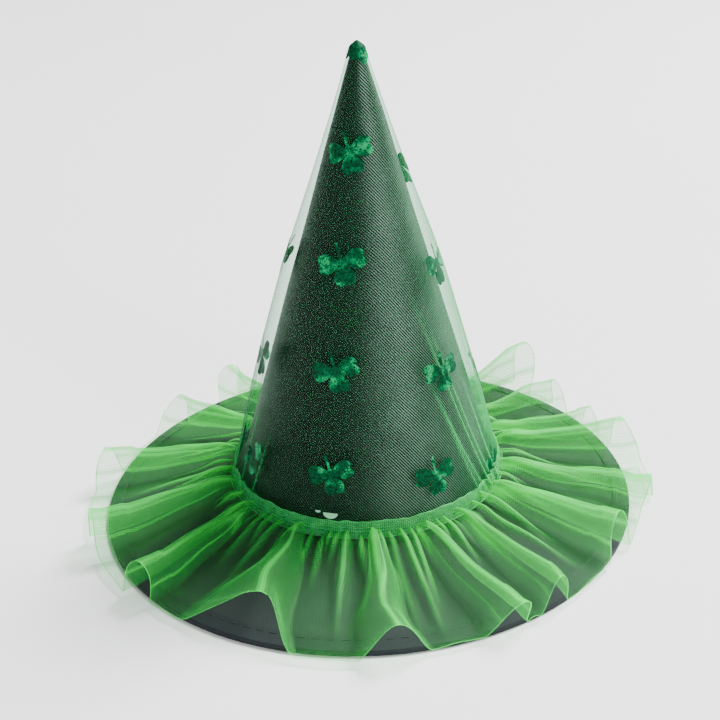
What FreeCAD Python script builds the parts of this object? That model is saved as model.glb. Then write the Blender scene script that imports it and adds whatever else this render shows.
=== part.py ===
import FreeCAD, Part
import math
import os

# A pointed costume hat: fabric crown on a drooping brim, a sheer overlay on the crown,
# and a gathered ruffle over the brim. Millimetres, +Z up.
# The origin is on the hat's axis, in the plane that the edge of the brim rests on.

# Driving dimensions
brimRadius = 195.0          # outside of the bound edge
hatHeight = 347.0           # tip above the rest plane
headRadius = 89.0           # inside of the sweatband, for a 56 cm head
brimRise = 23.0             # how far the brim climbs from its edge to the crown
crownBaseRadius = 95.5      # outside of the crown where it meets the brim
crownTipRadius = 3.8
overlayBaseRadius = 99.2
overlayBulge = 6.0          # how far the loose overlay stands off a straight cone
ruffleRadius = 211.0

# Thicknesses of the sheet goods
satin = 0.5
crownStiffener = 1.2
brimStiffener = 1.8
organza = 0.3
foil = 0.2
bandThickness = 1.2
ribbon = 1.0
bindingCloth = 0.6
ply = 0.1                   # room between two layers

# Places that follow from them
brimInner = headRadius + ribbon + 0.3
edgeMid = 2.0               # middle of the brim's layers at the very edge
brimSlope = brimRise / (brimRadius - brimInner)
halfStack = brimStiffener / 2 + ply + satin
bindingWidth = 12.0
bindingInner = brimRadius - bindingWidth
layerOuter = brimRadius - 1.6
wireRadius = 0.6
wirePath = brimRadius - 3.4
stiffenerOuter = wirePath - wireRadius - 0.3
crownTop = hatHeight - 3.0
overlayTop = hatHeight - 0.6
overlayBase = 28.5
sweatbandLow = 19.5
sweatbandHigh = 37.0

os.makedirs("parts", exist_ok=True)


def save(shape, node):
    shape.exportStep("parts/" + node + ".step")


def vec(x, y, z):
    return FreeCAD.Vector(x, y, z)


def revolve(points, sweep=360.0, start=0.0):
    """A closed (r, z) outline turned about the hat's axis."""
    corners = [vec(r, 0, z) for r, z in points]
    face = Part.Face(Part.makePolygon(corners + corners[:1]))
    solid = face.revolve(vec(0, 0, 0), vec(0, 0, 1), sweep)
    solid.rotate(vec(0, 0, 0), vec(0, 0, 1), start)
    return solid


def turned(shape, degrees):
    copy = shape.copy()
    copy.rotate(vec(0, 0, 0), vec(0, 0, 1), degrees)
    return copy


def brimMid(r):
    """Height of the middle of the brim's layers at radius r."""
    return edgeMid + brimSlope * (brimRadius - r)


crownFoot = brimMid(crownBaseRadius) + halfStack + ply
crownSlope = (crownBaseRadius - crownTipRadius) / (crownTop - crownFoot)


def crownRadius(z, inset=0.0):
    """Radius of the crown's outside at height z, less an inset."""
    return crownBaseRadius - crownSlope * (z - crownFoot) - inset


def brimLayer(low, high, inner, outer):
    """A ring that follows the brim between two offsets from its middle."""
    return revolve([
        (inner, brimMid(inner) + low),
        (outer, brimMid(outer) + low),
        (outer, brimMid(outer) + high),
        (inner, brimMid(inner) + high),
    ])


def crownLayer(inset, thickness, low, high, sweep=360.0, start=0.0):
    """A cone wall that follows the crown's outside from the inside."""
    return revolve([
        (crownRadius(low, inset), low),
        (crownRadius(high, inset), high),
        (crownRadius(high, inset + thickness), high),
        (crownRadius(low, inset + thickness), low),
    ], sweep, start)


# Crown: outer fabric closed at the tip, stiff cone inside it

def crownFabric():
    return revolve([
        (crownBaseRadius, crownFoot),
        (crownTipRadius, crownTop),
        (0, crownTop + 1.2),
        (0, crownTop + 1.2 - satin),
        (crownRadius(crownTop - satin, satin), crownTop - satin),
        (crownRadius(crownFoot, satin), crownFoot),
    ])


crownInsideInset = satin + ply
interliningLow = crownFoot + 9.0
interliningHigh = crownTop - 9.0
seamAzimuth = 90.0          # the crown's seam is at the back


def crownInterlining():
    return crownLayer(crownInsideInset, crownStiffener, interliningLow, interliningHigh)


allowanceInset = crownInsideInset + crownStiffener + ply
allowanceLow = sweatbandHigh + 3.0
allowanceHigh = 318.0
allowanceWidth = 9.0        # each flap, at mid height
flap = 0.6


def crownSeamAllowance():
    """Two flaps, pressed open, that narrow towards the tip."""
    flaps = []
    middle = crownRadius((allowanceLow + allowanceHigh) / 2, allowanceInset)
    sweep = math.degrees(allowanceWidth / middle)
    for start in (seamAzimuth - sweep - 0.6, seamAzimuth + 0.6):
        flaps.append(crownLayer(allowanceInset, flap, allowanceLow, allowanceHigh, sweep, start))
    return Part.makeCompound(flaps)


def slantStitches(count, low, high, radiusAt, azimuth, length, thread):
    """A line of stitches down a cone, each a short rod along the slant."""
    stitches = []
    for index in range(count):
        z = low + (high - low) * (index + 0.5) / count
        start = vec(radiusAt(z), 0, z)
        end = vec(radiusAt(z + length), 0, z + length)
        rod = Part.makeCylinder(thread, (end - start).Length, start, end - start)
        stitches.append(turned(rod, azimuth))
    return Part.makeCompound(stitches)


def ringStitches(count, radius, z, length, thread, phase=0.0):
    """A round of stitches, each a short rod along the circle."""
    rod = Part.makeCylinder(thread, length, vec(radius, -length / 2, z), vec(0, 1, 0))
    return Part.makeCompound([turned(rod, 360.0 * index / count + phase) for index in range(count)])


# Overlay: a loose sheer cone, slightly bellied, with its seam on the right

overlayTipRadius = crownTipRadius + 0.9


def overlayLine(z):
    """Radius of the straight cone from the overlay's foot to its top."""
    t = (z - overlayBase) / (overlayTop - overlayBase)
    return overlayBaseRadius + (overlayTipRadius - overlayBaseRadius) * t


overlayMiddle = (overlayBase + overlayTop) / 2


def overlayArc(offset):
    low = vec(overlayBaseRadius + offset, 0, overlayBase)
    middle = vec(overlayLine(overlayMiddle) + overlayBulge + offset, 0, overlayMiddle)
    high = vec(overlayTipRadius + offset, 0, overlayTop)
    return Part.Arc(low, middle, high)


def overlayRadius(z, offset=0.0):
    """Radius of the bellied overlay at height z, on its arc."""
    circle = overlayArc(offset).toShape().Curve
    centre = circle.Center
    return centre.x + math.sqrt(circle.Radius ** 2 - (z - centre.z) ** 2)


def overlayShell(inside, outside, sweep=360.0, start=0.0):
    """The overlay's belly between two offsets from its inner face, open at both ends."""
    inner = overlayArc(inside)
    outer = overlayArc(outside)
    edges = [
        inner.toShape(),
        Part.makeLine(inner.EndPoint, outer.EndPoint),
        outer.toShape(),
        Part.makeLine(outer.StartPoint, inner.StartPoint),
    ]
    face = Part.Face(Part.Wire(Part.__sortEdges__(edges)))
    solid = face.revolve(vec(0, 0, 0), vec(0, 0, 1), sweep)
    solid.rotate(vec(0, 0, 0), vec(0, 0, 1), start)
    return solid


overlaySeamAzimuth = 73.0
overlaySeamWidth = 5.0      # at mid height


def overlaySeam():
    """The folded seam strip, on the inside of the overlay."""
    sweep = math.degrees(overlaySeamWidth / overlayRadius(overlayMiddle))
    return overlayShell(-0.7, -ply, sweep, overlaySeamAzimuth - sweep / 2)


# Foil clovers: stamped on flat organza in a square grid, which was then sewn into a cone

gridPitch = 73.0
gridFirstRow = 83.5         # first full row, measured down from the cone's apex
gridRows = 4
cloverSize = 15.5           # hub to the outside of a leaf
cloverStem = 107.0          # direction of the stem in the flat, from across to up
hubSize = 1.2
coneSide = math.hypot(overlayBaseRadius - overlayTipRadius, overlayTop - overlayBase)
coneSine = (overlayBaseRadius - overlayTipRadius) / coneSide
coneCosine = (overlayTop - overlayBase) / coneSide
slantTop = overlayTipRadius / coneSine
slantBase = overlayBaseRadius / coneSine


def polar(radius, degrees):
    angle = math.radians(degrees)
    return vec(radius * math.cos(angle), radius * math.sin(angle), 0)


def cloverOutline():
    """Three heart-shaped leaves and a stem about a hub, in the XY plane."""
    edges = []
    ends = []
    for leaf in range(3):
        axis = cloverStem + 90 * (leaf + 1)
        rootLow, rootHigh = polar(hubSize, axis - 45), polar(hubSize, axis + 45)
        sideLow, sideHigh = polar(cloverSize * 0.62, axis - 36), polar(cloverSize * 0.62, axis + 36)
        crestLow, crestHigh = polar(cloverSize, axis - 19), polar(cloverSize, axis + 19)
        notch = polar(cloverSize * 0.82, axis)
        edges += [
            Part.makeLine(rootLow, sideLow),
            Part.Arc(sideLow, crestLow, notch).toShape(),
            Part.Arc(notch, crestHigh, sideHigh).toShape(),
            Part.makeLine(sideHigh, rootHigh),
        ]
        ends += [rootLow, rootHigh]
    across = polar(0.8, cloverStem + 90)
    stemTip = polar(cloverSize * 0.85, cloverStem)
    stem = [ends[-1], stemTip - across, stemTip + across, ends[0]]
    for low, high in zip(stem, stem[1:]):
        edges.append(Part.makeLine(low, high))
    return Part.Wire(edges)


def cloverPlaces():
    """Slant distance from the apex, azimuth and turn in the flat of every clover on the cone."""
    places = []
    for row in range(gridRows):
        down = gridFirstRow + row * gridPitch
        for column in range(-3, 4):
            across = column * gridPitch
            slant = math.hypot(across, down)
            turn = math.degrees(math.atan2(across, down))
            azimuth = overlaySeamAzimuth - 180 + turn / coneSine
            clearOfSeam = abs(turn / coneSine) < 165
            clearOfFoot = slant < slantBase - cloverSize / 2
            if clearOfSeam and clearOfFoot:
                places.append((slant, azimuth, turn))
    return places


def foilClovers():
    """Each clover is cut from the foil's thickness just outside the overlay."""
    reach = 9.0
    leaf = Part.Face(cloverOutline()).extrude(vec(0, 0, 2 * reach))
    leaf.translate(vec(0, 0, -reach))
    film = overlayShell(organza + 0.05, organza + 0.05 + foil, 150, -75)
    clovers = []
    for slant, azimuth, turn in cloverPlaces():
        z = overlayTop - (slant - slantTop) * coneCosine
        around = vec(0, 1, 0)
        upward = vec(-coneSine, 0, coneCosine)
        outward = vec(coneCosine, 0, coneSine)
        cosine, sine = math.cos(math.radians(turn)), math.sin(math.radians(turn))
        across = around * cosine - upward * sine
        along = around * sine + upward * cosine
        matrix = FreeCAD.Matrix(
            across.x, along.x, outward.x, overlayRadius(z),
            across.y, along.y, outward.y, 0,
            across.z, along.z, outward.z, z)
        stamp = leaf.copy()
        stamp.Placement = FreeCAD.Placement(matrix)
        clovers.append(turned(film.common(stamp).Solids[0], azimuth))
    return Part.makeCompound(clovers)


def tipFoil():
    """A stamp that wraps over the tip, closed on top."""
    low = overlayTop - 15.0
    inner = overlayRadius(low) + organza + 0.05
    top = overlayTipRadius + organza + 0.05
    return revolve([
        (inner, low),
        (inner + foil, low),
        (top + foil, overlayTop + 0.4),
        (0, hatHeight),
        (0, hatHeight - foil),
        (top, overlayTop + 0.4 - foil),
    ])


# Foot of the crown: folded band, ruffle, and the thread that gathers it

bandLow = overlayBase
bandHigh = overlayBase + 11.0
bandInset = organza + ply


def bandRadius(z):
    return overlayRadius(z) + bandInset


def headerBand():
    return revolve([
        (bandRadius(bandLow), bandLow),
        (bandRadius(bandLow) + bandThickness, bandLow),
        (bandRadius(bandHigh) + bandThickness, bandHigh),
        (bandRadius(bandHigh), bandHigh),
    ])


ruffleFolds = 28
ruffleSheet = 0.4
ruffleLow = 20.0            # outer edge in a valley
ruffleHigh = 29.0           # outer edge on a fold
gatherInner = crownBaseRadius + 0.9
gatherOuter = bandRadius(bandLow) + bandThickness + 1.5
gatherTop = overlayBase - 0.3


def ruffleStation(index):
    """The strip's section at one azimuth: three places, each with a low and a high point."""
    azimuth = 180.0 * index / ruffleFolds
    edge = ruffleHigh if index % 2 else ruffleLow
    brimTop = brimMid(gatherInner) + halfStack
    section = [
        (gatherInner, brimTop + 0.2, gatherTop),
        (gatherOuter, brimTop + 0.2, gatherTop - 0.3),
        (ruffleRadius, edge, edge + ruffleSheet),
    ]
    points = []
    for r, low, high in section:
        flat = polar(r, azimuth)
        points.append((vec(flat.x, flat.y, low), vec(flat.x, flat.y, high)))
    return points


def ruffle():
    """A closed fluted sheet of flat facets."""
    stations = [ruffleStation(index) for index in range(2 * ruffleFolds)]
    faces = []

    def panel(a, b, c, d):
        for corners in ((a, b, c), (a, c, d)):
            faces.append(Part.Face(Part.makePolygon(list(corners) + [corners[0]])))

    for here, there in zip(stations, stations[1:] + stations[:1]):
        for level in (0, 1):
            for near, far in ((0, 1), (1, 2)):
                panel(here[near][level], here[far][level], there[far][level], there[near][level])
        for place in (0, 2):
            panel(here[place][0], there[place][0], there[place][1], here[place][1])
    shell = Part.makeShell(faces)
    shell.sewShape()
    solid = Part.makeSolid(shell)
    if solid.Volume < 0:
        solid.reverse()
    return solid


gatheringThread = 0.3


def gatheringLoop():
    return Part.makeTorus(gatherOuter + 0.3, gatheringThread, vec(0, 0, gatherTop + 0.2))


# Brim: two fabrics, a stiff ring between them, and a wire hoop in the bound edge

ferruleWall = 0.3
ferruleSweep = 5.0
ferruleStart = seamAzimuth - ferruleSweep / 2
hoopGap = 0.5               # degrees between the ends of the wire


def hoopSection(radius):
    centre = vec(wirePath, 0, brimMid(wirePath))
    return Part.makeCircle(radius, centre, vec(0, 1, 0))


def brimWire():
    face = Part.Face(Part.Wire(hoopSection(wireRadius)))
    solid = face.revolve(vec(0, 0, 0), vec(0, 0, 1), 360 - hoopGap)
    return turned(solid, seamAzimuth + hoopGap / 2)


def wireFerrule():
    hole = wireRadius + 0.03
    outside = Part.Face(Part.Wire(hoopSection(hole + ferruleWall)))
    inside = Part.Face(Part.Wire(hoopSection(hole)))
    sleeve = outside.cut(inside).revolve(vec(0, 0, 0), vec(0, 0, 1), ferruleSweep)
    return turned(sleeve.Solids[0], ferruleStart)


bindingLeg = halfStack + ply + bindingCloth
restInner = brimRadius - 4.4     # the flat under the binding that the hat stands on
restOuter = brimRadius - 0.8


def brimBinding():
    inner, outer = bindingInner, layerOuter + ply
    room = halfStack + ply
    return revolve([
        (inner, brimMid(inner) - bindingLeg),
        (restInner, 0),
        (restOuter, 0),
        (brimRadius, 0.8),
        (brimRadius, brimMid(brimRadius) + bindingLeg - 0.6),
        (restOuter, brimMid(restOuter) + bindingLeg),
        (inner, brimMid(inner) + bindingLeg),
        (inner, brimMid(inner) + room),
        (outer, brimMid(outer) + room),
        (outer, brimMid(outer) - room),
        (inner, brimMid(inner) - room),
    ])


bindingStitchRadius = bindingInner + 2.5
bindingThread = 0.22


def bindingStitches():
    """One row on top and one below, as one thread makes them."""
    count, length = 120, 5.0
    middle = brimMid(bindingStitchRadius)
    top = middle + bindingLeg + bindingThread
    inner = brimMid(bindingInner) - bindingLeg
    fall = inner * (bindingStitchRadius - bindingInner) / (restInner - bindingInner)
    under = inner - fall - bindingThread
    return Part.makeCompound([
        ringStitches(count, bindingStitchRadius, top, length, bindingThread),
        ringStitches(count, bindingStitchRadius, under, length, bindingThread, 1.5),
    ])


# Head opening: the brim's turned edge, the sweatband, and their stitches

joinInner = brimInner + 0.2
joinThickness = 1.5
joinLow = brimMid(joinInner) + halfStack + ply
joinHigh = interliningLow - 1.0


def joinAllowance():
    return revolve([
        (joinInner, joinLow),
        (joinInner + joinThickness, joinLow),
        (joinInner + joinThickness, joinHigh),
        (joinInner, joinHigh),
    ])


def sweatband():
    return revolve([
        (headRadius, sweatbandLow),
        (headRadius + ribbon, sweatbandLow),
        (headRadius + ribbon, sweatbandHigh),
        (headRadius, sweatbandHigh),
    ])


fineThread = 0.12
joinThread = 0.2

save(crownFabric(), "crown_fabric")
save(crownInterlining(), "crown_interlining")
save(crownSeamAllowance(), "crown_seam_allowance")
save(slantStitches(40, allowanceLow + 2, allowanceHigh - 4,
                   lambda z: crownRadius(z, allowanceInset + flap + 0.3),
                   seamAzimuth, 4.2, joinThread), "crown_seam_stitches")
save(overlayShell(0, organza), "organza_overlay")
save(overlaySeam(), "overlay_seam")
save(slantStitches(44, bandHigh + 2, overlayTop - 22,
                   lambda z: overlayRadius(z) - 1.0,
                   overlaySeamAzimuth, 4.0, joinThread), "overlay_seam_stitches")
save(foilClovers(), "foil_clovers")
save(tipFoil(), "tip_foil")
save(headerBand(), "header_band")
save(ringStitches(90, bandRadius(bandLow) + bandThickness, bandLow + 3.0, 4.2, joinThread),
     "header_stitches")
save(ruffle(), "ruffle")
save(gatheringLoop(), "gathering_thread")
save(brimLayer(halfStack - satin, halfStack, brimInner, layerOuter), "brim_top_fabric")
save(brimLayer(-brimStiffener / 2, brimStiffener / 2, brimInner, stiffenerOuter),
     "brim_interlining")
save(brimLayer(-halfStack, satin - halfStack, brimInner, layerOuter), "brim_under_fabric")
save(brimWire(), "brim_wire")
save(wireFerrule(), "wire_ferrule")
save(brimBinding(), "brim_binding")
save(bindingStitches(), "binding_stitches")
save(joinAllowance(), "brim_join_allowance")
save(ringStitches(60, joinInner + joinThickness + joinThread + 0.05, joinLow + 3.0, 5.0, joinThread),
     "crown_base_stitches")
save(sweatband(), "sweatband")
save(ringStitches(60, headRadius + ribbon + fineThread + 0.03, sweatbandLow + 4.5, 5.0, fineThread),
     "sweatband_stitches")
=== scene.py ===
import math
import random

import bmesh
import bpy
from mathutils import Euler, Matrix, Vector, noise


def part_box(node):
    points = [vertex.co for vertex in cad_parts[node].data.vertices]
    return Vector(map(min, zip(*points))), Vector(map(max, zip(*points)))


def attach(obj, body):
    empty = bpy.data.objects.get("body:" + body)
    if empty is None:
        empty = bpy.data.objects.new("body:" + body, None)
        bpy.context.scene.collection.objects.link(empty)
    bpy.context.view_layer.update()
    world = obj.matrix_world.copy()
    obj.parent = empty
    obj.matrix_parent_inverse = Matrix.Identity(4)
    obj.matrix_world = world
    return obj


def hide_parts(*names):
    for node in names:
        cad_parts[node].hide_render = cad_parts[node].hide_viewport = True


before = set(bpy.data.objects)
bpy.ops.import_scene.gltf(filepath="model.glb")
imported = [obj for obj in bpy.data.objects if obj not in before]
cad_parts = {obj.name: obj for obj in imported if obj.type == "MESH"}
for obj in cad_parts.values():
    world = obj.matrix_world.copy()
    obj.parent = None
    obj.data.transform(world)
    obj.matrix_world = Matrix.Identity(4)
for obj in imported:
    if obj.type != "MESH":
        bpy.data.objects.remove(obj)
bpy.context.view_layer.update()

mm = 0.001
body = "root"


# places read from the frame

boxes = {name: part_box(name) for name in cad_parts}


def top(node):
    return boxes[node][1]


def low(node):
    return boxes[node][0]


brimRadius = top("brim_binding")[0]
brimFoot = {"inner": 90.3 * mm, "height": top("brim_top_fabric")[2], "slope": 0.2197}
overlay = {
    "foot": low("organza_overlay")[2],
    "top": top("organza_overlay")[2],
    "footRadius": top("organza_overlay")[0] - 0.3 * mm,
    "tipRadius": 4.7 * mm,
    "belly": 6.0 * mm,          # how far it stands off a straight cone
    "column": -107.0,           # azimuth of the straight column of clovers
}
crown = {
    "foot": low("crown_fabric")[2],
    "top": top("crown_fabric")[2],
    "footRadius": top("crown_fabric")[0],
    "tipRadius": 3.8 * mm,
    "blunt": 1.2 * mm,          # how far the cloth ends under the tip
    "lean": 6.5 * mm,           # how far the tip leans to the right
}
print("frame loaded", len(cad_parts), "nodes")


# shader maths

# a socket that takes part in sums
class Wire:
    def __init__(self, paint, socket):
        self.paint = paint
        self.socket = socket

    def maths(self, operation, left, right):
        return self.paint.node("ShaderNodeMath", {"operation": operation}, {0: left, 1: right})

    def __add__(self, other):
        return self.maths("ADD", self, other)

    def __radd__(self, other):
        return self.maths("ADD", other, self)

    def __sub__(self, other):
        return self.maths("SUBTRACT", self, other)

    def __rsub__(self, other):
        return self.maths("SUBTRACT", other, self)

    def __mul__(self, other):
        return self.maths("MULTIPLY", self, other)

    def __rmul__(self, other):
        return self.maths("MULTIPLY", other, self)

    def __pow__(self, other):
        return self.maths("POWER", self, other)


# one material and its node tree
class Paint:
    def __init__(self, name):
        self.material = bpy.data.materials.new(name)
        self.material.use_nodes = True
        self.tree = self.material.node_tree
        self.tree.nodes.clear()

    # adds a node, sets it up, fills or links its inputs, and gives one of its outputs
    def node(self, kind, settings=None, inputs=None, output=0):
        made = self.tree.nodes.new(kind)
        for name, value in (settings or {}).items():
            setattr(made, name, value)
        for name, value in (inputs or {}).items():
            if isinstance(value, Wire):
                self.tree.links.new(value.socket, made.inputs[name])
            else:
                made.inputs[name].default_value = value
        return Wire(self, made.outputs[output]) if made.outputs else made

    # the piece's own cut pattern, in metres
    def flat(self):
        return self.node("ShaderNodeUVMap", {"uv_map": "cut"})

    def place(self):
        return self.node("ShaderNodeTexCoord", output="Object")

    # the first two numbers of a vector
    def parts(self, vector):
        across = self.node("ShaderNodeSeparateXYZ", None, {0: vector}, "X")
        return across, Wire(self, across.socket.node.outputs["Y"])

    # a sine from 0 to 1 with the given pitch in metres
    def wave(self, value, pitch):
        turned = self.node("ShaderNodeMath", {"operation": "SINE"}, {0: value * (math.tau / pitch)})
        return turned * 0.5 + 0.5

    # noise from 0 to 1, with features of the given size in metres
    def grain(self, vector, size, detail=3.0):
        return self.node("ShaderNodeTexNoise", None, {
            "Vector": vector, "Scale": 1.0 / size, "Detail": detail})

    # a colour between two colours
    def blend(self, share, first, second):
        return self.node("ShaderNodeMix", {"data_type": "RGBA"}, {0: share, 6: first, 7: second}, 2)

    def bump(self, height, distance, strength=1.0):
        return self.node("ShaderNodeBump", None, {
            "Height": height, "Distance": distance, "Strength": strength})

    def attribute(self, name):
        return self.node("ShaderNodeAttribute", {"attribute_name": name}, None, "Fac")

    def finish(self, surface):
        self.node("ShaderNodeOutputMaterial", None, {"Surface": surface})
        return self.material

    # a material made of one principled surface
    def solid(self, inputs):
        return self.finish(self.node("ShaderNodeBsdfPrincipled", None, inputs))


sheerLook = {
    "slubSize": 7 * mm,
    "threadMean": 0.37,         # mean of the thread pattern, taken off so that "cover" is the mean cover
    "grazingPower": 3.6,        # how late the cover rises towards grazing
    # share of the bright colour on creases, a painted highlight over the denser folded cloth, and on raw
    # edges
    "creaseHighlightTint": 0.8, "edgeTint": 0.4,
    "relief": 0.08 * mm, "gloss": 0.3,
}


# a see-through woven cloth: thread colour by diffuse and translucent, gaps by transparent
def sheerCloth(name, spec):
    paint = Paint(name)
    across, along = paint.parts(paint.flat())
    warp = paint.wave(across, spec["pitch"])
    weft = paint.wave(along, spec["pitch"])
    slubs = paint.grain(paint.flat(), sheerLook["slubSize"])
    creaseAndHighlight = paint.attribute("creaseAndHighlight")
    edge = paint.attribute("edge")
    threads = (warp ** 2.0 + weft ** 2.0) * 0.5
    base = spec["cover"] - spec["weave"] * sheerLook["threadMean"]
    cover = threads * spec["weave"] + (slubs - 0.5) * spec["slubs"] + base
    facing = paint.node("ShaderNodeLayerWeight", None, {"Blend": 0.5}, "Facing")
    grazing = facing ** sheerLook["grazingPower"]
    cover = cover + creaseAndHighlight * spec["creaseCover"] + edge * spec["edgeCover"] + grazing * spec["grazing"]
    # painted highlight: creases take on the bright colour; raw edges are brighter too
    tint = creaseAndHighlight * sheerLook["creaseHighlightTint"] + edge * sheerLook["edgeTint"]
    shade = paint.blend(tint, spec["colour"], spec["bright"])
    face = paint.node("ShaderNodeBsdfPrincipled", None, {
        "Base Color": shade, "Roughness": spec["roughness"], "Specular IOR Level": sheerLook["gloss"],
        "Normal": paint.bump(threads, sheerLook["relief"], spec["relief"])})
    glow = paint.node("ShaderNodeBsdfTranslucent", None, {"Color": shade})
    cloth = paint.node("ShaderNodeMixShader", None, {0: spec["glow"], 1: face, 2: glow})
    clear = paint.node("ShaderNodeBsdfTransparent", None, {"Color": spec["gaps"]})
    return paint.finish(paint.node("ShaderNodeMixShader", None, {0: cover, 1: clear, 2: cloth}))


ruffleCloth = {
    "colour": (0.055, 0.74, 0.10, 1), "bright": (0.06, 1.0, 0.13, 1), "gaps": (0.88, 0.98, 0.89, 1),
    "cover": 0.088, "weave": 0.28, "slubs": 0.06, "creaseCover": 0.72, "edgeCover": 0.66, "grazing": 0.60,
    "pitch": 1.7 * mm, "relief": 0.5, "roughness": 0.5, "glow": 0.55,
}
overlayCloth = {
    "colour": (0.012, 0.27, 0.085, 1), "bright": (0.03, 0.85, 0.18, 1), "gaps": (0.84, 0.97, 0.89, 1),
    "cover": 0.13, "weave": 0.06, "slubs": 0.03, "creaseCover": 0.45, "edgeCover": 0.40, "grazing": 0.60,
    "pitch": 1.1 * mm, "relief": 0.1, "roughness": 0.5, "glow": 0.5,
}
bandCloth = {
    "colour": (0.10, 0.80, 0.23, 1), "bright": (0.14, 0.95, 0.27, 1), "gaps": (0.85, 0.96, 0.88, 1),
    "cover": 0.36, "weave": 0.30, "slubs": 0.50, "creaseCover": 0.35, "edgeCover": 0.15, "grazing": 0.2,
    "pitch": 1.5 * mm, "relief": 0.5, "roughness": 0.5, "glow": 0.4,
}


satinLook = {
    "rib": 1.55 * mm,           # pitch of the slanting ribs
    "thread": 1.2 * mm,         # pitch of the threads across them
    "patch": 22 * mm,           # size of the uneven patches
    # light is the rib colour under a full painted highlight
    "dark": (0.001, 0.0015, 0.0015, 1), "light": (0.46, 0.54, 0.50, 1),
    "roughness": 0.50, "gloss": 0.12, "relief": 0.15 * mm,
}


# black twill: slanting ribs, with painted highlights where the crown's painted streaks are and painted shade
# elsewhere
def satinCloth():
    paint = Paint("blackSatin")
    across, along = paint.parts(paint.flat())
    rib = paint.wave(across - along, satinLook["rib"] * math.sqrt(2)) ** 2.0
    threads = paint.wave(across + along, satinLook["thread"])
    patches = paint.grain(paint.flat(), satinLook["patch"])
    # the attribute carries the crown's painted highlight streaks
    share = rib * (threads * 0.3 + 0.7) * (patches * 0.9 + 0.35) * paint.attribute("creaseAndHighlight")
    return paint.solid({
        "Base Color": paint.blend(share, satinLook["dark"], satinLook["light"]),
        "Roughness": satinLook["roughness"] - rib * 0.14, "Specular IOR Level": satinLook["gloss"],
        "Normal": paint.bump(rib, satinLook["relief"], 0.7)})


# name, darkest and lightest colour, pitch of the weave, roughness and share of lint
plainCloths = {
    "brim": ("brimCloth", (0.006, 0.008, 0.010, 1), (0.040, 0.048, 0.052, 1), 0.9 * mm, 0.80, 0.3),
    "binding": ("bindingCloth", (0.004, 0.006, 0.008, 1), (0.030, 0.038, 0.044, 1), 0.8 * mm, 0.72, 0.2),
    "felt": ("stiffenerFelt", (0.55, 0.55, 0.53, 1), (0.82, 0.82, 0.80, 1), 1.5 * mm, 0.95, 0.5),
    "ribbon": ("sweatRibbon", (0.010, 0.010, 0.012, 1), (0.060, 0.060, 0.066, 1), 1.2 * mm, 0.70, 0.2),
}


# opaque plain weave, with lint and slight patches of wear
def plainCloth(name, dark, light, pitch, roughness, lint):
    paint = Paint(name)
    place = paint.place()
    across, along = paint.parts(place)
    weave = paint.wave(across, pitch) * paint.wave(along, pitch)
    patches = paint.grain(place, 45 * mm)
    specks = paint.grain(place, 1.3 * mm, 5.0)
    share = weave * 0.35 + patches * 0.4 + specks * lint
    height = weave * 0.6 + specks * 0.4
    return paint.solid({
        "Base Color": paint.blend(share, dark, light),
        "Roughness": specks * 0.12 + (roughness - 0.06), "Sheen Weight": 0.05,
        "Specular IOR Level": 0.2, "Normal": paint.bump(height, 0.15 * mm, 0.7)})


foilLook = {
    "flake": 0.9 * mm, "patch": 10 * mm,
    "lit": (0.45, 0.70),        # noise values between which a patch turns from dark to a painted glint
    "dark": (0.0, 0.022, 0.008, 1), "green": (0.001, 0.10, 0.035, 1),
    # bright is the painted glint colour of the flakes, glint the painted highlight colour of the cut-off
    # scraps
    "bright": (0.008, 0.52, 0.17, 1), "glint": (0.42, 0.85, 0.55, 1),
    "roughness": 0.42, "gloss": 0.04, "relief": 0.12 * mm,
}


# stamped metallic film: dark green, with painted glints: patches where the flakes are painted bright and made
# more metallic
def foilFilm():
    paint = Paint("greenFoil")
    place = paint.place()
    flakes = {"Vector": place, "Scale": 1.0 / foilLook["flake"]}
    cells = paint.node("ShaderNodeTexVoronoi", None, flakes, "Distance")
    tone = paint.parts(paint.node("ShaderNodeTexVoronoi", None, flakes, "Color"))[0]
    patches = paint.grain(place, foilLook["patch"], 1.0)
    first, last = foilLook["lit"]
    lit = paint.node("ShaderNodeMapRange", {"interpolation_type": "SMOOTHSTEP"}, {
        0: patches, 1: first, 2: last, 3: 0.0, 4: 1.0})
    dark = paint.blend(tone, foilLook["dark"], foilLook["green"])
    green = paint.blend(lit * tone, dark, foilLook["bright"])
    return paint.solid({
        "Base Color": paint.blend(paint.attribute("glint") * 0.8, green, foilLook["glint"]),
        "Metallic": lit * 0.5, "Specular IOR Level": foilLook["gloss"],
        "Roughness": tone * 0.2 + foilLook["roughness"],
        "Normal": paint.bump(cells, foilLook["relief"], 0.7)})


def threadFibre(name, dark, light):
    paint = Paint(name)
    twist = paint.grain(paint.place(), 0.5 * mm, 2.0)
    return paint.solid({
        "Base Color": paint.blend(twist, dark, light), "Roughness": 0.6, "Sheen Weight": 0.2,
        "Normal": paint.bump(twist, 0.1 * mm, 0.6)})


def drawnMetal(name, colour, roughness):
    paint = Paint(name)
    scratch = paint.grain(paint.place(), 0.8 * mm, 4.0)
    return paint.solid({
        "Base Color": colour, "Metallic": 1.0, "Roughness": scratch * 0.2 + (roughness - 0.1),
        "Normal": paint.bump(scratch, 0.05 * mm, 0.4)})


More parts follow.
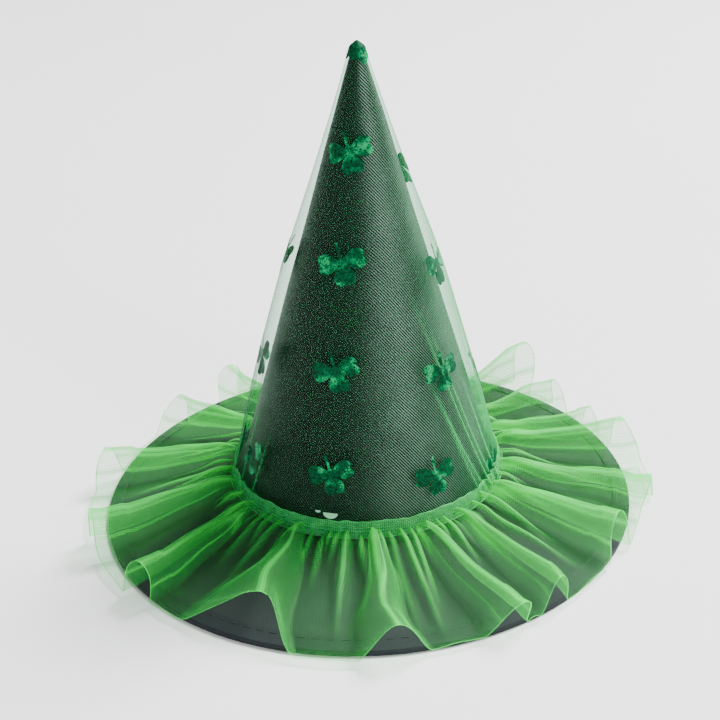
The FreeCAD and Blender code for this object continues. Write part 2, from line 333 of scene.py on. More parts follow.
materials = {
    "satin": satinCloth(),
    "ruffle": sheerCloth("ruffleOrganza", ruffleCloth),
    "overlay": sheerCloth("overlayOrganza", overlayCloth),
    "band": sheerCloth("bandOrganza", bandCloth),
    **{key: plainCloth(*spec) for key, spec in plainCloths.items()},
    "foil": foilFilm(),
    "blackThread": threadFibre("blackThread", (0.006, 0.006, 0.008, 1), (0.030, 0.032, 0.036, 1)),
    "greenThread": threadFibre("greenThread", (0.004, 0.09, 0.03, 1), (0.03, 0.30, 0.10, 1)),
    "wire": drawnMetal("springWire", (0.52, 0.52, 0.54, 1), 0.30),
    "ferrule": drawnMetal("ferruleMetal", (0.72, 0.73, 0.75, 1), 0.35),
}
print("materials made")


# shapes shared by the pieces

def smooth(value):
    value = min(1.0, max(0.0, value))
    return value * value * (3 - 2 * value)


# height of the brim's upper face at radius r
def brimTop(r):
    return brimFoot["height"] - brimFoot["slope"] * (r - brimFoot["inner"])


# sideways shift of the crown at height z
def lean(z):
    share = max(0.0, (z - crown["foot"]) / (crown["top"] - crown["foot"]))
    return crown["lean"] * share


# a hidden piece of the crown, shifted with the lean
def leaningCopy(node, name, material):
    bm = bmesh.new()
    bm.from_mesh(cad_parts[node].data)
    bmesh.ops.remove_doubles(bm, verts=bm.verts, dist=0.001 * mm)
    for vert in bm.verts:
        vert.co.x += lean(vert.co.z)
    return newPiece(name, bm, material, [node])


def crownRadius(z):
    share = (z - crown["foot"]) / (crown["top"] - crown["foot"] - crown["blunt"])
    return crown["footRadius"] + (crown["tipRadius"] - crown["footRadius"]) * share


def overlayRadius(z):
    share = (z - overlay["foot"]) / (overlay["top"] - overlay["foot"])
    line = overlay["footRadius"] + (overlay["tipRadius"] - overlay["footRadius"]) * share
    belly = 4 * overlay["belly"] * share * (1 - share)
    return line + belly * (1 - 0.9 * smooth((share - 0.45) / 0.4))


coneSide = math.hypot(overlay["footRadius"] - overlay["tipRadius"], overlay["top"] - overlay["foot"])
coneSine = (overlay["footRadius"] - overlay["tipRadius"]) / coneSide
coneCosine = (overlay["top"] - overlay["foot"]) / coneSide
slantTop = overlay["tipRadius"] / coneSine
slantFoot = overlay["footRadius"] / coneSine


def around(azimuth, radius, z):
    turn = math.radians(azimuth)
    return Vector((radius * math.cos(turn), radius * math.sin(turn), z))


# signed difference of two azimuths, in degrees
def apart(azimuth, other):
    return (azimuth - other + 180) % 360 - 180


def bell(value, width):
    return math.exp(-(value / width) ** 2)


def addObject(name, data):
    made = bpy.data.objects.new(name, data)
    bpy.context.scene.collection.objects.link(made)
    return made


def newPiece(name, bm, material, node, shaded=True):
    mesh = bpy.data.meshes.new(name)
    bm.to_mesh(mesh)
    bm.free()
    mesh.materials.append(materials[material])
    for polygon in mesh.polygons:
        polygon.use_smooth = shaded
    piece = addObject(name, mesh)
    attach(piece, body)
    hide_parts(*node)
    return piece


# a grid bent into shape: place(u, v) gives a point, its cut place, its crease with any painted highlight, and
# its edge
def sheetGrid(columns, rows, place, closed=True):
    bm = bmesh.new()
    bmesh.ops.create_grid(bm, x_segments=columns, y_segments=rows, size=0.5)
    cut = bm.loops.layers.uv.new("cut")
    creaseAndHighlight = bm.verts.layers.float.new("creaseAndHighlight")
    edge = bm.verts.layers.float.new("edge")
    flats = {}
    for vert in bm.verts:
        u, v = vert.co.x + 0.5, vert.co.y + 0.5
        point, flat, creaseAndHighlightShare, edged = place(u, v)
        vert.co = point
        vert[creaseAndHighlight] = creaseAndHighlightShare
        vert[edge] = edged
        flats[vert.index] = flat
    for face in bm.faces:
        for loop in face.loops:
            loop[cut].uv = flats[loop.vert.index]
    if closed:
        bmesh.ops.remove_doubles(bm, verts=bm.verts, dist=0.01 * mm)
    return bm


# a closed (r, z) outline spun round the axis
def lathe(profile, steps):
    bm = bmesh.new()
    ring = [bm.verts.new((r, 0, z)) for r, z in profile]
    edges = [bm.edges.new((ring[i], ring[(i + 1) % len(ring)])) for i in range(len(ring))]
    bmesh.ops.spin(bm, geom=ring + edges, cent=(0, 0, 0), axis=(0, 0, 1), angle=math.tau,
                   steps=steps, use_merge=True)
    bmesh.ops.remove_doubles(bm, verts=bm.verts, dist=0.005 * mm)
    bmesh.ops.recalc_face_normals(bm, faces=bm.faces)
    return bm


# crown

crownLook = {
    "columns": 180, "rows": 90, "dent": 0.7 * mm, "inset": 0.05 * mm, "thick": 0.4 * mm,
    "seam": 90,                 # azimuth of the back seam
    "shadedShare": 0.08,               # share of the light colour away from the painted highlights, leaving painted shade
    "paintedHighlights": [                 # azimuth, width and strength of the painted highlight streaks on the satin
        (-70, 17, 0.62), (-45, 30, 0.27), (-20, 14, 0.42), (25, 16, 0.30), (75, 20, 0.40), (140, 22, 0.30),
    ],
}


# the crown's cloth, from foot to tip, with faint dents and painted highlight streaks
def crownPlace(u, v):
    z = crown["foot"] + (crown["top"] - crown["blunt"] - crown["foot"]) * v
    azimuth = 360 * u + crownLook["seam"]
    swell = max(0.0, noise.noise(around(azimuth, 1.3, z * 14)) + 0.3)
    dent = swell * crownLook["dent"] * smooth((1 - v) * 6) * smooth(v * 8)
    r = crownRadius(z) - crownLook["inset"] + dent
    point = around(azimuth, r, z)
    point.x += lean(z)
    slant = r / coneSine
    unrolled = math.radians(azimuth - crownLook["seam"] - 180) * coneSine
    flat = (slant * math.sin(unrolled), slant * math.cos(unrolled))
    # painted highlight: streaks where the lamps would light the satin, with painted shade between them
    highlightShare = sum(part * bell(apart(azimuth, place), width) for place, width, part in crownLook["paintedHighlights"])
    return point, flat, crownLook["shadedShare"] + highlightShare, 0.0


def makeCrown():
    bm = sheetGrid(crownLook["columns"], crownLook["rows"], crownPlace)
    rim = [edge for edge in bm.edges if edge.is_boundary and edge.verts[0].co.z > crown["top"] - 5 * mm]
    closed = bmesh.ops.edgeloop_fill(bm, edges=rim)["faces"]
    bmesh.ops.poke(bm, faces=closed)
    bmesh.ops.recalc_face_normals(bm, faces=bm.faces)
    bmesh.ops.solidify(bm, geom=bm.faces[:], thickness=crownLook["thick"])
    return newPiece("crownCloth", bm, "satin", ["crown_fabric"])


crownPiece = makeCrown()
leaningCopy("crown_interlining", "crownStiffener", "felt")
leaningCopy("crown_seam_allowance", "crownSeamAllowance", "brim")
leaningCopy("crown_seam_stitches", "crownSeamStitches", "blackThread")
print("crown made")


# overlay

overlayLook = {
    "columns": 420, "rows": 110,
    "blunt": 2 * mm,           # how far the cloth ends under the tip
    "ripple": 1.5 * mm,        # slow waves of the loose cloth
    "slack": 0.40,             # how dense the gathered cloth looks on the right
    "slackMiddle": -8, "slackWidth": 34,
    "creases": [               # azimuth at the foot, turn by the top, height, where it starts and ends
        (-27.0, -34.0, 2.6, 0.0, 0.55),
        (-23.5, -30.0, 1.9, 0.0, 0.50),
        (-31.0, -30.0, 1.6, 0.0, 0.38),
        (-19.0, -12.0, 2.0, 0.0, 0.30),
        (-36.0, -16.0, 1.0, 0.02, 0.26),
        (-160.0, 8.0, 1.6, 0.0, 0.30),
        (-150.0, 10.0, 1.0, 0.0, 0.22),
        (-172.0, 6.0, 1.8, 0.0, 0.36),
        (150.0, 4.0, 1.4, 0.0, 0.30),
        (20.0, -6.0, 1.5, 0.0, 0.40),
        (48.0, -6.0, 1.4, 0.0, 0.30),
        (110.0, 4.0, 1.4, 0.0, 0.34),
    ],
}


# how far the loose cloth is pushed out, and how creased it is: each crease has a hollow beside it
def overlayLift(azimuth, z):
    v = (z - overlay["foot"]) / (overlay["top"] - overlay["foot"])
    lift = 0.0
    creaseAndHighlight = 0.0
    for start, turn, height, first, last in overlayLook["creases"]:
        if first - 0.01 <= v <= last:
            along = (v - first) / (last - first)
            centre = start + turn * along
            arc = math.radians(apart(azimuth, centre)) * overlayRadius(z) / mm
            fade = smooth((1 - along) * 2.0)
            lift += height * mm * fade * (bell(arc, 1.9) - 0.35 * bell(arc - 3.2, 2.4))
            creaseAndHighlight += fade * bell(arc, 1.1)
    wave = noise.noise(around(azimuth, 1.7, z * 9))
    lift += wave * overlayLook["ripple"] * smooth(v * 6) * smooth((1 - v) * 5)
    middle = bell(apart(azimuth, overlayLook["slackMiddle"]), overlayLook["slackWidth"])
    density = overlayLook["slack"] * middle * smooth((1 - v) * 1.6)
    return lift, min(1.0, creaseAndHighlight + density)


def overlaySurface(azimuth, z, offset=0.0):
    lift, creaseAndHighlight = overlayLift(azimuth, z)
    point = around(azimuth, overlayRadius(z) + lift + offset, z)
    point.x += lean(z)
    return point, creaseAndHighlight


# the place on the overlay of a point of the flat cloth, down from the cone's apex
def rolled(across, down, offset=0.0):
    slant = math.hypot(across, down)
    azimuth = overlay["column"] + math.degrees(math.atan2(across, down)) / coneSine
    z = overlay["top"] - (slant - slantTop) * coneCosine
    return overlaySurface(azimuth, z, offset)[0]


def overlayPlace(u, v):
    z = overlay["foot"] + (overlay["top"] - overlayLook["blunt"] - overlay["foot"]) * v
    azimuth = overlay["column"] + 180 + 360 * u
    point, creaseAndHighlight = overlaySurface(azimuth, z)
    slant = slantFoot + (slantTop - slantFoot) * v
    unrolled = math.radians(360 * u - 180) * coneSine
    flat = (slant * math.sin(unrolled), slant * math.cos(unrolled))
    return point, flat, creaseAndHighlight, 0.0


def makeOverlay():
    bm = sheetGrid(overlayLook["columns"], overlayLook["rows"], overlayPlace)
    bmesh.ops.recalc_face_normals(bm, faces=bm.faces)
    return newPiece("organzaOverlay", bm, "overlay", ["organza_overlay"])


overlayPiece = makeOverlay()
overlayArea = math.pi * (overlay["footRadius"] + overlay["tipRadius"]) * coneSide


overlaySeamLook = {"width": 11.0 * mm, "blunt": 6 * mm, "inset": 0.35 * mm, "puff": 0.25 * mm}


# the folded seam, a narrow strip inside the overlay at the back
def overlaySeamPlace(u, v):
    width = overlaySeamLook["width"]
    z = overlay["foot"] + (overlay["top"] - overlay["foot"] - overlaySeamLook["blunt"]) * v
    azimuth = overlay["column"] + 180 + math.degrees((u - 0.5) * width / max(overlayRadius(z), 8 * mm))
    offset = -overlaySeamLook["inset"] - overlaySeamLook["puff"] * math.sin(u * math.pi)
    point = overlaySurface(azimuth, z, offset)[0]
    return point, (u * width, v * coneSide), 0.4 * bell(u - 0.5, 0.12), bell(u, 0.1) + bell(u - 1, 0.1)


overlaySeam = newPiece("overlaySeam", sheetGrid(8, 110, overlaySeamPlace, False), "overlay",
                       ["overlay_seam"])
leaningCopy("overlay_seam_stitches", "overlaySeamStitches", "greenThread")
print("overlay made")


# foil clovers

clover = {
    "pitch": 73.0 * mm, "firstRow": 83.5 * mm, "rows": 4, "sideColumns": 3,
    "reach": 165,                             # degrees each way from the column that carry clovers
    "leaf": 15.8 * mm, "spread": 95.0,        # length of a leaf, and angle between leaves
    "leafSteps": 15, "leafStep": 3.1,         # steps from a leaf's middle to its side, in degrees
    # half a leaf: angle from its middle and share of the leaf's length
    "lobe": [(0, 0.88), (5, 0.93), (10, 0.98), (15, 0.99), (20, 0.97), (26, 0.91), (32, 0.82), (38, 0.68),
             (43, 0.44), (47, 0.18)],
    "hub": 2.0 * mm, "stem": 107.0, "stemLength": 13.5 * mm, "stemWidth": 0.9 * mm,
    "film": 0.12 * mm, "stand": 0.35 * mm,
    "lowest": 1 * mm,                         # height over the overlay's foot that a clover stays above
    "cuts": 7, "cutPitch": 2.2,               # cuts each way that let a stamp bend, and their pitch in mm
    # cut-off edges of the print: across, down and half-width, in mm
    "scraps": [(1.0, 331.5, 5.2), (-8.0, 330.5, 2.0)],
    "scrapSteps": 12, "scrapDepth": 0.8,
}


# distance from the hub to the edge of a leaf, by angle from its middle
def leafReach(offset):
    points = clover["lobe"]
    for (angle, share), (following, nextShare) in zip(points, points[1:]):
        if angle <= abs(offset) <= following:
            gain = (nextShare - share) * (abs(offset) - angle) / (following - angle)
            return clover["leaf"] * (share + gain)
    return clover["hub"]


# points round a clover, in the flat, anticlockwise from the stem's right side
def cloverOutline():
    points = []
    for leaf in range(3):
        middle = clover["stem"] + 180 + clover["spread"] * (leaf - 1)
        for step in range(-clover["leafSteps"], clover["leafSteps"] + 1):
            offset = step * clover["leafStep"]
            angle = math.radians(middle + offset)
            reach = leafReach(offset)
            points.append((reach * math.cos(angle), reach * math.sin(angle)))
    stem = math.radians(clover["stem"])
    away = Vector((math.cos(stem), math.sin(stem)))
    aside = Vector((-away.y, away.x)) * clover["stemWidth"]
    foot = away * clover["hub"] * 1.6
    tip = away * clover["stemLength"] + aside * 0.6
    for corner in (foot - aside, tip - aside * 1.2, tip + aside * 0.7, foot + aside):
        points.append((corner.x, corner.y))
    return points


# places of the clovers on the flat cloth, across and down from the cone's apex
def cloverPlaces():
    places = []
    for row in range(clover["rows"]):
        down = clover["firstRow"] + row * clover["pitch"]
        for column in range(-clover["sideColumns"], clover["sideColumns"] + 1):
            across = column * clover["pitch"]
            turn = math.degrees(math.atan2(across, down)) / coneSine
            lowest = slantFoot - clover["leaf"] / 2
            if abs(turn) < clover["reach"] and math.hypot(across, down) < lowest:
                places.append((across, down))
    return places


def makeClovers():
    bm = bmesh.new()
    outline = cloverOutline()
    for across, down in cloverPlaces():
        ring = [bm.verts.new((x, y, 0)) for x, y in outline]
        face = bm.faces.new(ring)
        stamp = [face] + list(face.edges) + ring
        for step in range(-clover["cuts"], clover["cuts"] + 1):
            for axis in ((1, 0, 0), (0, 1, 0)):
                spot = Vector(axis) * step * clover["cutPitch"] * mm
                cut = bmesh.ops.bisect_plane(bm, geom=stamp, dist=0.001 * mm, plane_co=spot, plane_no=axis)
                stamp = cut["geom"]
        verts = [item for item in stamp if isinstance(item, bmesh.types.BMVert)]
        faces = [item for item in stamp if isinstance(item, bmesh.types.BMFace)]
        bmesh.ops.triangulate(bm, faces=faces)
        for vert in verts:
            vert.co = rolled(across + vert.co.x, down - vert.co.y, clover["stand"])
            vert.co.z = max(vert.co.z, overlay["foot"] + clover["lowest"])
    # the cut-off scraps carry a painted highlight: their colour is painted pale
    glint = bm.verts.layers.float.new("glint")
    for across, down, size in clover["scraps"]:
        ring = []
        for step in range(clover["scrapSteps"] + 1):
            angle = math.pi * step / clover["scrapSteps"]
            aside = across - size * math.cos(angle)
            drop = down + clover["scrapDepth"] * size * math.sin(angle)
            ring.append(bm.verts.new(rolled(aside * mm, drop * mm, clover["stand"])))
            ring[-1][glint] = 1.0
        bm.faces.new(ring)
    bmesh.ops.recalc_face_normals(bm, faces=bm.faces)
    bmesh.ops.solidify(bm, geom=bm.faces[:], thickness=clover["film"])
    return newPiece("foilClovers", bm, "foil", ["foil_clovers"], False)


makeClovers()


tipLook = {
    "reach": 6.5, "waves": (2, 1.2),          # how far the stamp hangs down, and its uneven edge, in mm
    "under": 2 * mm, "gap": 0.2 * mm, "dome": 5.0 * mm,
}


# one stamp that closes the tip, with an uneven lower edge
def tipFoilPlace(u, v):
    azimuth = 360 * u
    slow, quick = tipLook["waves"]
    waves = math.sin(math.radians(azimuth * 2 + 200)), math.sin(math.radians(azimuth * 5))
    reach = (tipLook["reach"] + slow * waves[0] + quick * waves[1]) * mm
    side = min(1.0, v / 0.5)
    dome = max(0.0, (v - 0.5) / 0.5)
    z = overlay["top"] - reach * (1 - side) - tipLook["under"]
    r = (overlayRadius(z) + tipLook["gap"]) * (1 - dome ** 1.4)
    point = around(azimuth, r, z + tipLook["dome"] * dome)
    point.x += lean(z)
    return point, (u * 0.03, v * 0.02), 0.0, 0.0


def makeTipFoil():
    bm = sheetGrid(60, 20, tipFoilPlace)
    bmesh.ops.remove_doubles(bm, verts=bm.verts, dist=0.02 * mm)
    bmesh.ops.recalc_face_normals(bm, faces=bm.faces)
    bmesh.ops.solidify(bm, geom=bm.faces[:], thickness=-clover["film"])
    return newPiece("tipFoil", bm, "foil", ["tip_foil"], False)


makeTipFoil()
print("clovers made", len(cloverPlaces()))


# ruffle

ruffleLook = {
    "seam": 99.6 * mm,         # radius where the strip is gathered
    "width": 108 * mm,
    "loopSteps": 56, "valleySteps": 48, "rows": 34,
    "loop": (7.5, 9.0, 2.4),   # height, width and overhang of a flute at the seam, in mm
    "puff": 3.0,               # how far the gathers lift the strip near the seam, in mm
    "gathers": 92, "seed": 11,
    "gatherSpan": 7,           # degrees either side that a gather reaches
    "sway": 3.4,               # degrees a flute may wander between seam and edge
    "clear": 0.5 * mm,         # height of the strip over the brim's cloth
    "bindingWidth": 13 * mm, "bindingRise": 1.1 * mm,
    # azimuth at the seam, azimuth at the edge, height, width, overhang and tilt at the edge in mm,
    # reach of the crest, and reach and sag of the valley that follows, in mm
    "flutes": [
        (-166, -163, 31, 30, 11, 2, 112, 108, 1),
        (-145, -142, 29, 27, 10, 4, 104, 101, 0),
        (-119, -118, 27, 96, 0, 12, 84, 106, 0),
        (-88, -87, 27, 50, 1, 3, 108, 100, 0),
        (-69, -64, 24, 34, 3, 9, 110, 100, 0),
        (-51, -52, 22, 26, 3, 6, 100, 99, 0),
        (-28, -30, 30, 29, 10, 4, 100, 104, 0),
        (-9, -10, 22, 24, 9, 3, 113, 113, 0),
        (8, 10, 33, 30, 10, -2, 106, 98, 2),
        (20, 22, 22, 20, 4, -2, 95, 92, 3),
        (35, 35, 30, 24, 4, -3, 88, 96, 2),
        (50, 49, 45, 25, 8, -4, 110, 106, 0),
        (70, 70, 28, 30, 6, 2, 110, 106, 0),
        (89, 90, 32, 34, 7, -2, 110, 106, 0),
        (108, 108, 27, 28, 6, 3, 108, 98, 0),
        (126, 127, 34, 27, 8, 2, 88, 84, 0),
        (147, 147, 34, 30, 6, 2, 80, 96, 0),
        (170, 171, 28, 28, 9, -2, 108, 110, 1),
    ],
}
# noise_vector takes its offsets from the clock unless it has a seed
noise.seed_set(ruffleLook["seed"])

fluteNames = ("seamAzimuth", "edgeAzimuth", "height", "width", "over", "tilt", "crest", "valley", "sag")
flutes = [dict(zip(fluteNames, row)) for row in ruffleLook["flutes"]]


# sideways and upward place, in mm, across a flute: tau goes from -1 to 1 over its crest
def fluteShape(flute, tau, v):
    startHeight, startWidth, startOver = ruffleLook["loop"]
    height = startHeight + (flute["height"] - startHeight) * v ** 0.75
    width = startWidth + (flute["width"] - startWidth) * v
    over = startOver + (flute["over"] - startOver) * v
    rise = (0.5 * (1 + math.cos(math.pi * tau))) ** 0.85
    aside = tau * width / 2 + over * math.sin(math.pi * tau) * rise ** 0.6 + flute["tilt"] * v * rise
    return aside, height * rise


# azimuth of a flute's middle, which wanders a little on the way out
def fluteAzimuth(flute, v):
    start = flute["seamAzimuth"]
    sway = ruffleLook["sway"] * v * noise.noise(Vector((v * 2.2, start, 4.0)))
    return start + apart(flute["edgeAzimuth"], start) * v + sway


# azimuth, reach, rise, crease with its painted highlight, and flatness of the strip; place counts flutes,
# each a loop and then a valley
def stripPlace(place, v):
    number = int(place) % len(flutes)
    here, there = flutes[number], flutes[(number + 1) % len(flutes)]
    loopShare = ruffleLook["loopSteps"] / (ruffleLook["loopSteps"] + ruffleLook["valleySteps"])
    through = place - int(place)
    middle = fluteAzimuth(here, v)
    if through < loopShare:
        tau = 2 * through / loopShare - 1
        aside, rise = fluteShape(here, tau, v)
        foot = flutes[number - 1]["valley"] if tau < 0 else here["valley"]
        reach = here["crest"] + (foot - here["crest"]) * smooth(abs(tau))
        azimuth = middle + math.degrees(aside * mm / (ruffleLook["seam"] + reach * mm * v))
        sideFold = 0.55 * bell(abs(tau) - 0.52, 0.045) * smooth(here["over"] / 6)
        # crest and folded sides: real folds that also get a painted highlight
        return azimuth, reach, rise, 0.14 + 0.7 * bell(tau, 0.07) + sideFold, 0.0
    share = (through - loopShare) / (1 - loopShare)
    radius = ruffleLook["seam"] + here["valley"] * mm * v
    start = middle + math.degrees(fluteShape(here, 1.0, v)[0] * mm / radius)
    end = fluteAzimuth(there, v) + math.degrees(fluteShape(there, -1.0, v)[0] * mm / radius)
    flat = math.sin(share * math.pi)
    return start + apart(end, start) * share, here["valley"], here["sag"] * flat * v, 0.0, flat


# small gathers that start at the seam and die out on the way to the edge
def gatherList():
    draw = random.Random(ruffleLook["seed"])
    gathers = []
    for number in range(ruffleLook["gathers"]):
        gathers.append({
            "azimuth": 360 * (number + draw.uniform(-0.35, 0.35)) / ruffleLook["gathers"],
            "height": draw.uniform(4.0, 9.0), "width": draw.uniform(1.7, 3.0), "over": draw.uniform(0.5, 2.2),
            "end": 0.20 + 0.85 * draw.random() ** 1.35, "drift": draw.uniform(-6, 6),
            # strength of the painted highlight along the gather
            "bright": draw.uniform(0.4, 1.0),
        })
    return gathers


gathers = gatherList()


# height in mm, painted highlight and sideways bulge of the small gathers at a place on the strip
def gatherLift(azimuth, radius, v):
    height = 0.0
    ridgeHighlight = 0.0
    shift = 0.0
    for gather in gathers:
        if v < gather["end"]:
            off = apart(azimuth, gather["azimuth"] + gather["drift"] * v)
            if abs(off) < ruffleLook["gatherSpan"]:
                arc = math.radians(off) * radius / mm
                fade = smooth((1 - v / gather["end"]) * 1.4)
                width = gather["width"] * (1 + v)
                height += gather["height"] * fade * bell(arc, width)
                shift += gather["over"] * fade * arc / width * bell(arc, width) * 1.6
                ridgeHighlight += gather["bright"] * fade * bell(arc, 1.2 + 0.6 * v)
    return height, ridgeHighlight, math.degrees(shift * mm / radius)


def rufflePlace(u, v):
    rows = ruffleLook["rows"]
    # a narrow last row for the raw edge
    v = 1.0 if v > 1 - 0.5 / rows else v * rows / (rows - 1) * 0.988
    azimuth, reach, rise, ridgeHighlight, flat = stripPlace(u * len(flutes) - 1e-7, v)
    radius = ruffleLook["seam"] + reach * mm * v
    gather, line, shift = gatherLift(azimuth, radius, v)
    azimuth += shift * smooth(v * 8)
    wander = noise.noise(around(azimuth, 7, v * 2))
    lift = rise + gather * (0.35 + 0.65 * flat) + ruffleLook["puff"] * bell(v - 0.10, 0.12)
    lift += (wander + 0.4) * 3.0 * smooth(v * 5) * flat
    slope = lift / 110
    r = ruffleLook["seam"] + reach * mm * v * math.sqrt(max(0.3, 1 - slope * slope))
    binding = ruffleLook["bindingRise"] if r > brimRadius - ruffleLook["bindingWidth"] else 0.0
    rest = brimTop(min(r, brimRadius + 4 * mm)) + ruffleLook["clear"] + binding
    point = around(azimuth, r, rest + lift * mm)
    point += noise.noise_vector(point * 30) * 1.2 * mm * v
    point.z = max(point.z, rest)
    cut = (u * ruffleLength, v * ruffleLook["width"])
    return point, cut, min(1.0, ridgeHighlight * smooth(v * 6) + line), bell(1 - v, 0.004)


# length of the strip, measured along its outer edge
def edgeLength():
    total = 0.0
    last = None
    steps = 120
    for step in range(len(flutes) * steps):
        azimuth, reach, rise = stripPlace(step / steps, 1.0)[:3]
        point = around(azimuth, ruffleLook["seam"] + reach * mm, rise * mm)
        total += (point - last).length if last else 0.0
        last = point
    return total


ruffleLength = edgeLength()


def makeRuffle():
    columns = len(flutes) * (ruffleLook["loopSteps"] + ruffleLook["valleySteps"])
    bm = sheetGrid(columns, ruffleLook["rows"], rufflePlace)
    bmesh.ops.recalc_face_normals(bm, faces=bm.faces)
    return newPiece("ruffleStrip", bm, "ruffle", ["ruffle"])


rufflePiece = makeRuffle()
print("ruffle made", round(ruffleLength, 3), "m long")


# header band

bandLook = {
    "height": 11.5 * mm, "thick": 1.3 * mm, "columns": 400, "rows": 22,
    "gap": 0.75 * mm, "uneven": 0.45 * mm,
    "tuck": 0.3 * mm,          # how far the fold's two edges go under the overlay's foot
}


# a folded strip: v goes up the outside, over the soft top fold and down the inside
def bandPlace(u, v):
    azimuth = 360 * u
    spot = around(azimuth, 9, v * 2)
    crumple = noise.noise(spot)
    wobble = noise.noise(around(azimuth, 22, 3.0))
    height = bandLook["height"] * (1 + 0.10 * crumple + 0.06 * wobble)
    angle = v * math.pi
    z = overlay["foot"] + height * math.sin(angle) ** 0.6 - bandLook["tuck"]
    lift = overlayLift(azimuth, z)[0]
    side = math.cos(angle) * bandLook["thick"] / 2
    uneven = bandLook["uneven"] * noise.noise(spot * 2.3)
    r = overlayRadius(z) + lift + bandLook["gap"] + side + uneven
    point = around(azimuth, r, z)
    point.x += lean(z)
    fuzz = bell(v - 0.5, 0.10)
    return point, (u * 0.63, v * 0.023), 0.3 * fuzz + 0.3 * smooth(crumple), fuzz


bandPiece = newPiece("headerBand", sheetGrid(bandLook["columns"], bandLook["rows"], bandPlace), "band",
                     ["header_band"])


threadLook = {
    "radius": overlay["footRadius"] + 2.4 * mm, "height": overlay["foot"] + 0.2 * mm,
    "thick": 0.55 * mm, "wander": 0.5 * mm, "columns": 420, "rows": 8,
}


# the thread that gathers the ruffle: it runs round the hat, rising and falling a little
def threadPlace(u, v):
    azimuth = 360 * u
    sway = noise.noise(around(azimuth, 12, threadLook["radius"] * 30))
    angle = v * math.tau
    r = threadLook["radius"] + threadLook["wander"] * sway + threadLook["thick"] * math.cos(angle)
    height = threadLook["height"] + threadLook["wander"] * 0.6 * sway + threadLook["thick"] * math.sin(angle)
    return around(azimuth, r, height), (u, v), 0.0, 0.0


def makeThread():
    bm = sheetGrid(threadLook["columns"], threadLook["rows"], threadPlace)
    bmesh.ops.recalc_face_normals(bm, faces=bm.faces)
    return newPiece("gatheringThread", bm, "greenThread", ["gathering_thread"])


makeThread()
print("band made")


# brim

brimLook = {"steps": 240, "rings": 26, "wave": 0.5 * mm, "thick": 0.5 * mm, "inset": 1.6 * mm}


# upper or under cloth of the brim, as a thin closed ring with faint waves
def brimSheet(name, side, material, node):
    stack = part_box("brim_top_fabric")[1][2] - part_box("brim_under_fabric")[1][2]
    drop = 0.0 if side > 0 else stack
    inner, outer = brimFoot["inner"], brimRadius - brimLook["inset"]
    rings = [inner + (outer - inner) * step / brimLook["rings"] for step in range(brimLook["rings"] + 1)]
    profile = [(r, brimTop(r) - drop) for r in rings]
    profile += [(r, brimTop(r) - drop - brimLook["thick"]) for r in reversed(rings)]
    bm = lathe(profile, brimLook["steps"])
    for vert in bm.verts:
        r = math.hypot(vert.co.x, vert.co.y)
        fade = smooth((r - inner) / (12 * mm)) * smooth((outer - r) / (10 * mm))
        wave = noise.noise(Vector((vert.co.x * 16, vert.co.y * 16, side)))
        vert.co.z += brimLook["wave"] * (wave - 0.3) * fade * (1 if side > 0 else -1)
    return newPiece(name, bm, material, node)


brimUpper = brimSheet("brimUpper", 1, "brim", ["brim_top_fabric"])
brimUnder = brimSheet("brimUnder", -1, "brim", ["brim_under_fabric"])
ringArea = math.pi * (brimRadius ** 2 - brimFoot["inner"] ** 2)



# CAD nodes that are kept as they are, with their finish
kept = {
    "header_stitches": "greenThread",
    "brim_interlining": "felt", "brim_wire": "wire", "wire_ferrule": "ferrule", "brim_binding": "binding",
    "binding_stitches": "blackThread", "brim_join_allowance": "brim", "crown_base_stitches": "blackThread",
    "sweatband": "ribbon", "sweatband_stitches": "blackThread",
}
for node, material in kept.items():
    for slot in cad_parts[node].material_slots:
        slot.material = materials[material]
print("brim made")


# floor, light and camera

studio = {
    "world": (0.93, 0.95, 0.96, 1), "worldStrength": 0.48,
    "floorRadius": 25.0,
    "floorDark": (0.84, 0.84, 0.85, 1), "floorLight": (0.90, 0.90, 0.91, 1),
    "sun": {"place": (1.5, 1.1, 2.2), "aim": (0, 0, 0), "angle": 24.0, "power": 7.6},
    "key": {"place": (1.5, 1.1, 2.2), "aim": (0, 0, 0.12), "size": 1.3, "power": 110,
            "colour": (1.0, 0.99, 0.97)},
    "side": {"place": (1.25, -1.6, 1.15), "aim": (0, 0, 0.12), "size": 0.35, "power": 22,
             "colour": (1.0, 1.0, 1.0)},
}


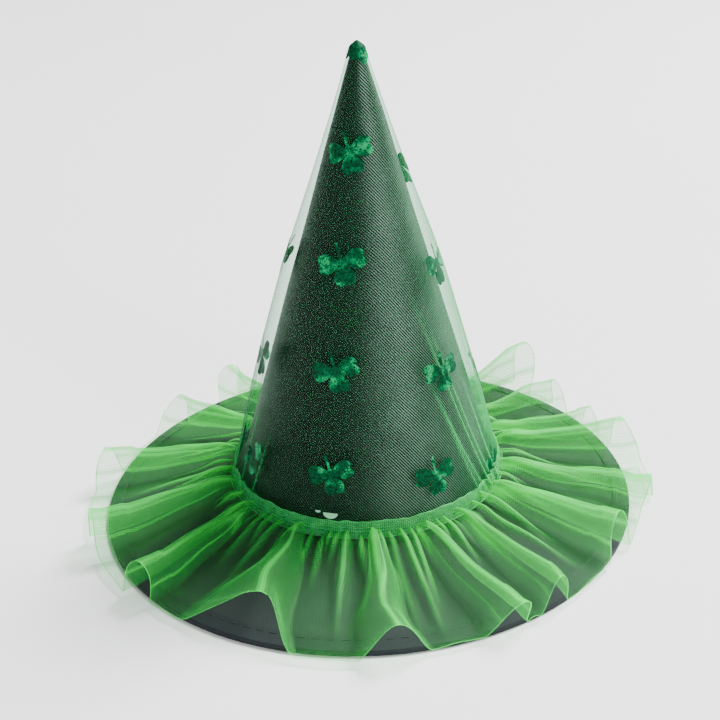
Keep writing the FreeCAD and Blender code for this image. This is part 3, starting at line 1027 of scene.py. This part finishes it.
def floorPaint():
    paint = Paint("paleFloor")
    speck = paint.grain(paint.place(), 0.4)
    return paint.solid({
        "Base Color": paint.blend(speck, studio["floorDark"], studio["floorLight"]), "Roughness": 0.75})


def makeFloor():
    bm = bmesh.new()
    bmesh.ops.create_circle(bm, cap_ends=True, segments=96, radius=studio["floorRadius"])
    mesh = bpy.data.meshes.new("floor")
    bm.to_mesh(mesh)
    bm.free()
    mesh.materials.append(floorPaint())
    floor = addObject("floor", mesh)


def makeLamp(name, kind, spec):
    lamp = bpy.data.lights.new(name, kind)
    lamp.energy = spec["power"]
    light = addObject(name, lamp)
    light.location = spec["place"]
    away = Vector(spec["aim"]) - Vector(spec["place"])
    light.rotation_euler = away.to_track_quat("-Z", "Y").to_euler()
    return lamp


# soft lamps that shape the folds
def makeAreaLamp(name):
    spec = studio[name]
    lamp = makeLamp(name, "AREA", spec)
    lamp.shape = "DISK"
    lamp.size = spec["size"]
    lamp.color = spec["colour"]


# an even light, so the floor keeps its tone far away
def makeSun():
    makeLamp("sun", "SUN", studio["sun"]).angle = math.radians(studio["sun"]["angle"])


def makeWorld():
    world = bpy.data.worlds.new("studio")
    world.use_nodes = True
    back = world.node_tree.nodes["Background"]
    back.inputs["Color"].default_value = studio["world"]
    back.inputs["Strength"].default_value = studio["worldStrength"]
    bpy.context.scene.world = world


camera = {
    "target": (-0.0013, 0.0, 0.1149), "distance": 1.0854, "rise": 27.04, "roll": 2.73, "lens": 75.0,
}


def makeCamera():
    data = bpy.data.cameras.new("camera")
    data.lens = camera["lens"]
    data.sensor_width = 36.0
    data.clip_end = 50.0
    piece = addObject("camera", data)
    rise = math.radians(camera["rise"])
    back = Vector((0, -math.cos(rise), math.sin(rise)))
    piece.location = Vector(camera["target"]) + back * camera["distance"]
    level = Euler((math.radians(90 - camera["rise"]), 0, 0)).to_matrix()
    spin = Euler((0, 0, math.radians(-camera["roll"]))).to_matrix()
    piece.rotation_euler = (level @ spin).to_euler()
    bpy.context.scene.camera = piece


makeFloor()
makeSun()
makeAreaLamp("key")
makeAreaLamp("side")
makeWorld()
makeCamera()
print("studio made")
